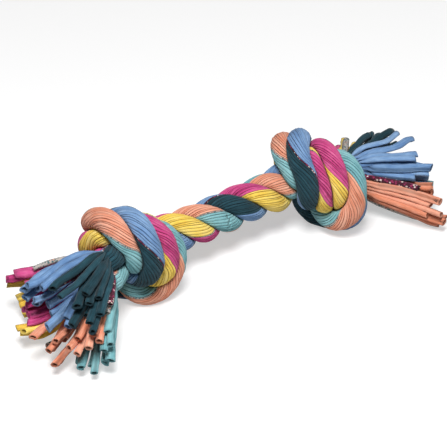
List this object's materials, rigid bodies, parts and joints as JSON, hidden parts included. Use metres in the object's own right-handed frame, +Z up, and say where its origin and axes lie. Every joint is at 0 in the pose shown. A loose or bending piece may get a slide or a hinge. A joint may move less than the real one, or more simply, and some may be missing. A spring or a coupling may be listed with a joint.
{
  "type": "rope dog toy",
  "caption": "Tug toy of laid rope made from rolled jersey strips in bright colours, with an overhand knot and a loose tassel of cut strips at each end.",
  "frame": {"origin": "on the floor under the middle of the toy's box", "axes": "+X along the toy from the longer tassel to the shorter one, +Z up from the floor, +Y to the back of the picture's view"},
  "size_m": [0.3604, 0.1448, 0.0791],
  "materials": {
    "yellow": "matte knitted cotton jersey",
    "magenta": "matte knitted cotton jersey",
    "coral": "matte knitted cotton jersey",
    "aqua": "matte knitted cotton jersey",
    "blue": "matte knitted cotton jersey",
    "teal": "matte knitted cotton jersey",
    "print": "matte knitted cotton jersey"
  },
  "bodies": {
    "mid_rope": {"mid_blue": "blue", "mid_teal": "teal", "mid_coral": "coral", "mid_aqua": "aqua", "mid_yellow": "yellow", "mid_magenta": "magenta"},
    "left_knot": {"left_knot_blue": "blue", "left_knot_teal": "teal", "left_knot_coral": "coral", "left_knot_aqua": "aqua", "left_knot_yellow": "yellow", "left_knot_magenta": "magenta"},
    "right_knot": {"right_knot_blue": "blue", "right_knot_teal": "teal", "right_knot_coral": "coral", "right_knot_aqua": "aqua", "right_knot_yellow": "yellow", "right_knot_magenta": "magenta"},
    "left_tassel": {"left_tassel_blue": "blue", "left_tassel_teal": "teal", "left_tassel_coral": "coral", "left_tassel_aqua": "aqua", "left_tassel_yellow": "yellow", "left_tassel_magenta": "magenta", "left_tassel_print_1": "print", "left_tassel_print_2": "print", "left_tassel_print_3": "print"},
    "right_tassel": {"right_tassel_blue": "blue", "right_tassel_teal": "teal", "right_tassel_coral": "coral", "right_tassel_aqua": "aqua", "right_tassel_yellow": "yellow", "right_tassel_magenta": "magenta", "right_tassel_print_1": "print", "right_tassel_print_2": "print", "right_tassel_print_3": "print"}
  },
  "joints": [
    {"name": "left_neck_bend", "type": "hinge", "parent": "mid_rope", "child": "left_knot", "pos_m": [-0.0289, 0.0281, 0.0334], "axis": [0, 0, 1], "range_deg": [-35, 35], "stiffness_Nm_per_rad": 0.2, "deforming": ["mid_blue", "mid_teal", "mid_coral", "mid_aqua", "mid_yellow", "mid_magenta"]},
    {"name": "right_neck_bend", "type": "hinge", "parent": "mid_rope", "child": "right_knot", "pos_m": [0.0431, 0.0265, 0.0356], "axis": [0, 0, 1], "range_deg": [-35, 35], "stiffness_Nm_per_rad": 0.2, "deforming": ["mid_blue", "mid_teal", "mid_coral", "mid_aqua", "mid_yellow", "mid_magenta"]},
    {"name": "left_tassel_lift", "type": "hinge", "parent": "left_knot", "child": "left_tassel", "pos_m": [-0.1099, 0.0001, 0.0457], "axis": [0, 1, 0], "range_deg": [0, 60], "deforming": ["left_tassel_blue", "left_tassel_teal", "left_tassel_coral", "left_tassel_aqua", "left_tassel_yellow", "left_tassel_magenta", "left_tassel_print_1", "left_tassel_print_2", "left_tassel_print_3"]},
    {"name": "right_tassel_lift", "type": "hinge", "parent": "right_knot", "child": "right_tassel", "pos_m": [0.1249, 0.0156, 0.0297], "axis": [0, -1, 0], "range_deg": [0, 60], "deforming": ["right_tassel_blue", "right_tassel_teal", "right_tassel_coral", "right_tassel_aqua", "right_tassel_yellow", "right_tassel_magenta", "right_tassel_print_1", "right_tassel_print_2", "right_tassel_print_3"]}
  ]
}
